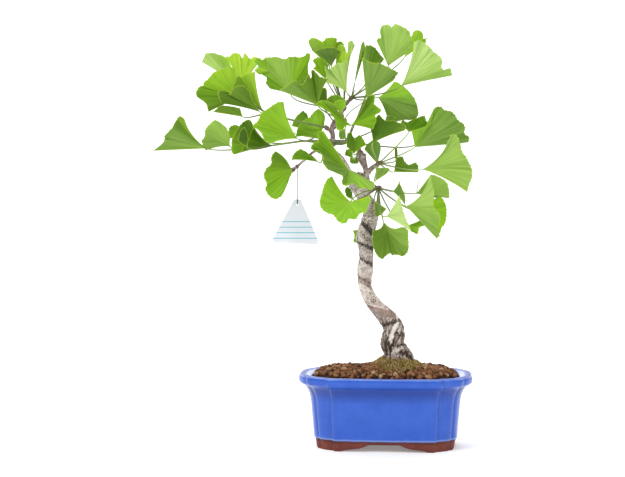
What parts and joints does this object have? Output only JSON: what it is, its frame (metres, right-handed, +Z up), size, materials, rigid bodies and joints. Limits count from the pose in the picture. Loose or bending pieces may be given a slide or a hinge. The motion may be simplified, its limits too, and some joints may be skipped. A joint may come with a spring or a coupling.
{
  "type": "potted bonsai tree",
  "caption": "Ginkgo bonsai with a bent grey trunk and fan-shaped leaves, growing in a glazed blue ceramic pot, with a blank triangular label hung from a twig by a thread.",
  "frame": {"origin": "bottom centre of the box around the pot and the tree, on the surface that the pot's feet stand on", "axes": "+Z up along the tree's height, +X along the pot's long side away from the leaning crown, +Y away from the pot's front"},
  "size_m": [0.3256, 0.1452, 0.4207],
  "materials": {
    "glazed_ceramic": "glossy blue glaze, bare clay foot",
    "soil": "baked clay grains",
    "screen": "moulded",
    "bark": "rough bark",
    "leaf_mid": "leaf",
    "leaf_bright": "leaf",
    "leaf_pale": "leaf",
    "leaf_dark": "leaf",
    "label": "smooth",
    "thread": "twisted"
  },
  "bodies": {
    "root": {"pot": "glazed_ceramic", "soil": "soil", "drain_screen_left": "screen", "drain_screen_right": "screen", "trunk": "bark", "spray_left": "leaf_mid", "spray_left_high": "leaf_bright", "spray_top_left": "leaf_pale", "spray_top": "leaf_pale", "spray_front": "leaf_bright", "spray_middle": "leaf_dark", "spray_right": "leaf_pale", "spray_low_right": "leaf_pale", "spray_twig": "leaf_mid", "spray_back": "leaf_dark", "tag": "label", "tag_thread": "thread"}
  },
  "joints": []
}
